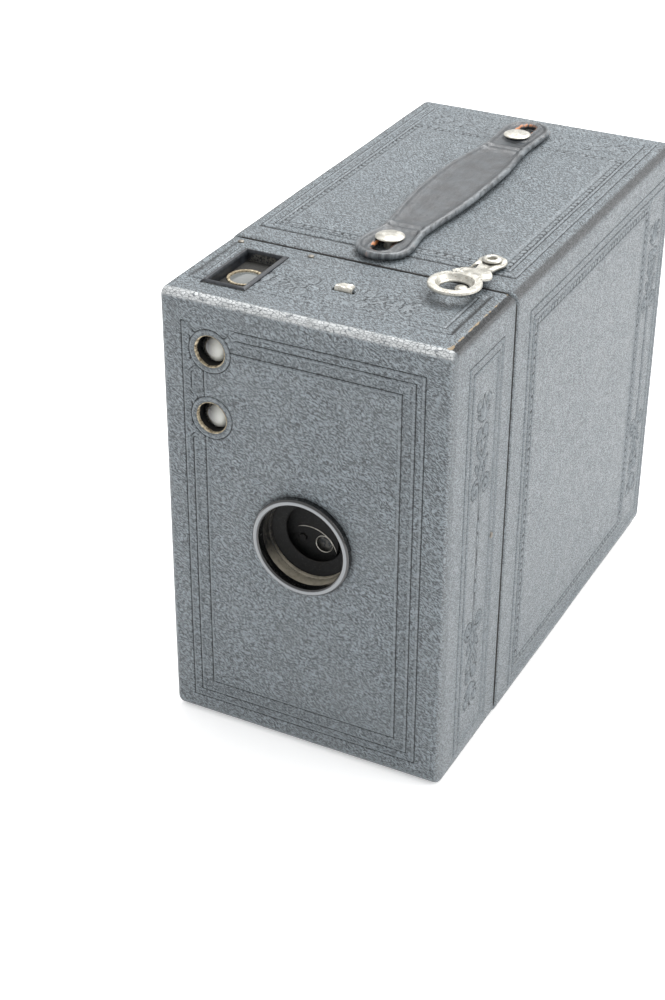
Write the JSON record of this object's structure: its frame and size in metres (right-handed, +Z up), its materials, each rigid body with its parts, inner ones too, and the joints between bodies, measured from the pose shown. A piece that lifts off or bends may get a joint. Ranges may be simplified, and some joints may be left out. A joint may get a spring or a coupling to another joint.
{
  "type": "box camera",
  "caption": "Leather-covered roll-film box camera with lens ring, reflecting finders, top latch, strap handle and a front section that draws out with the film carrier.",
  "frame": {"origin": "centre of the base, on the surface that the camera stands on", "axes": "+X to the right as seen from the lens side, -Y towards the subject (lens side), +Z up"},
  "size_m": [0.108, 0.1608, 0.1353],
  "materials": {
    "case_leather": "embossed satin",
    "strap_leather": "worn satin",
    "case_board": "matt black stained board",
    "nickel": "worn nickel",
    "black_enamel": "gloss black enamel",
    "blackened_metal": "matt black",
    "brass": "dull",
    "steel": "dull",
    "clear_glass": "polished",
    "mirror": "silvered",
    "ruby_glass": "deep red",
    "spool_wood": "turned"
  },
  "bodies": {
    "rear_case": {"rear_shell": "case_board", "rear_wrap": "case_leather", "rear_base_sheet": "case_leather", "back_sheet": "case_leather", "ruby_window": "ruby_glass", "ruby_window_ring": "black_enamel", "handle_studs": "nickel", "handle_end_front": "strap_leather", "latch_rivet": "nickel", "key_bush": "brass"},
    "strap_front": {"handle_front": "strap_leather"},
    "strap_rear": {"handle_rear": "strap_leather"},
    "strap_tail": {"handle_end_rear": "strap_leather"},
    "latch_arm": {"latch": "nickel"},
    "key_sleeve": {"key_collar": "nickel"},
    "key": {"winding_key": "nickel"},
    "front_section": {"front_shell": "case_board", "front_wrap": "case_leather", "front_face_sheet": "case_leather", "front_base_sheet": "case_leather", "front_nails": "steel", "latch_stud": "nickel", "lens_ring": "black_enamel", "lens_mask": "blackened_metal", "shutter_pins": "steel", "shutter_plate": "blackened_metal", "shutter_spring": "steel", "plate_pillars": "steel", "lens_cell": "blackened_metal", "lens_glass": "clear_glass", "lens_retainer": "steel", "stop_guides": "blackened_metal", "mechanism_board": "case_board", "finder_lenses": "clear_glass", "top_finder_box": "blackened_metal", "top_finder_mirror": "mirror", "top_finder_frame": "blackened_metal", "side_finder_box": "blackened_metal", "side_finder_mirror": "mirror", "side_finder_frame": "blackened_metal", "light_lip": "blackened_metal", "carrier_plates": "blackened_metal", "film_cone": "blackened_metal", "film_gate": "blackened_metal", "supply_spool_clips": "brass", "takeup_bushes": "brass"},
    "takeup": {"takeup_spool": "spool_wood"},
    "top_roller": {"roller_top": "steel"},
    "bottom_roller": {"roller_bottom": "steel"},
    "stops": {"stop_slide": "nickel"},
    "time_stop": {"time_slide": "nickel"},
    "release_lever": {"shutter_lever": "nickel"},
    "rotary_shutter": {"shutter_disc": "blackened_metal"}
  },
  "joints": [
    {"name": "front_pull", "type": "slide", "parent": "rear_case", "child": "front_section", "axis": [0, -1, 0], "range_m": [0, 0.118]},
    {"name": "latch_swing", "type": "hinge", "parent": "rear_case", "child": "latch_arm", "pos_m": [0.029, -0.0295, 0.133], "axis": [0, 0, 1], "range_deg": [0, 100]},
    {"name": "handle_lift", "type": "hinge", "parent": "rear_case", "child": "strap_front", "pos_m": [0, -0.0235, 0.1341], "axis": [1, 0, 0], "range_deg": [0, 12]},
    {"name": "handle_fold_middle", "type": "hinge", "parent": "strap_front", "child": "strap_rear", "pos_m": [0, 0.015, 0.1323], "axis": [1, 0, 0], "range_deg": [-24, 0]},
    {"name": "handle_fold_rear", "type": "hinge", "parent": "strap_rear", "child": "strap_tail", "pos_m": [0, 0.0535, 0.1341], "axis": [1, 0, 0], "range_deg": [0, 12]},
    {"name": "key_turn", "type": "hinge", "parent": "rear_case", "child": "key_sleeve", "pos_m": [-0.042, -0.0265, 0.019], "axis": [1, 0, 0], "continuous": true},
    {"name": "key_push", "type": "slide", "parent": "key_sleeve", "child": "key", "axis": [1, 0, 0], "range_m": [0, 0.009]},
    {"name": "takeup_turn", "type": "hinge", "parent": "front_section", "child": "takeup", "pos_m": [0, -0.0265, 0.019], "axis": [1, 0, 0], "continuous": true},
    {"name": "roller_top_turn", "type": "hinge", "parent": "front_section", "child": "top_roller", "pos_m": [0, 0.0665, 0.1253], "axis": [1, 0, 0], "continuous": true},
    {"name": "roller_bottom_turn", "type": "hinge", "parent": "front_section", "child": "bottom_roller", "pos_m": [0, 0.0665, 0.0067], "axis": [1, 0, 0], "continuous": true},
    {"name": "stop_pull", "type": "slide", "parent": "front_section", "child": "stops", "axis": [0, 0, 1], "range_m": [0, 0.016]},
    {"name": "time_pull", "type": "slide", "parent": "front_section", "child": "time_stop", "axis": [-1, 0, 0], "range_m": [0, 0.005]},
    {"name": "shutter_release", "type": "hinge", "parent": "front_section", "child": "release_lever", "pos_m": [-0.024, -0.0697, 0.0621], "axis": [0, 1, 0], "range_deg": [0, 28]},
    {"name": "shutter_turn", "type": "hinge", "parent": "front_section", "child": "rotary_shutter", "pos_m": [-0.0048, -0.0697, 0.0621], "axis": [0, -1, 0], "range_deg": [0, 88.2]}
  ],
  "couplings": [
    {"joint": "handle_fold_middle", "follows": "handle_lift", "ratio": -2},
    {"joint": "handle_fold_rear", "follows": "handle_lift", "ratio": 1},
    {"joint": "takeup_turn", "follows": "key_turn", "ratio": 1},
    {"joint": "shutter_turn", "follows": "shutter_release", "ratio": 3.15}
  ]
}
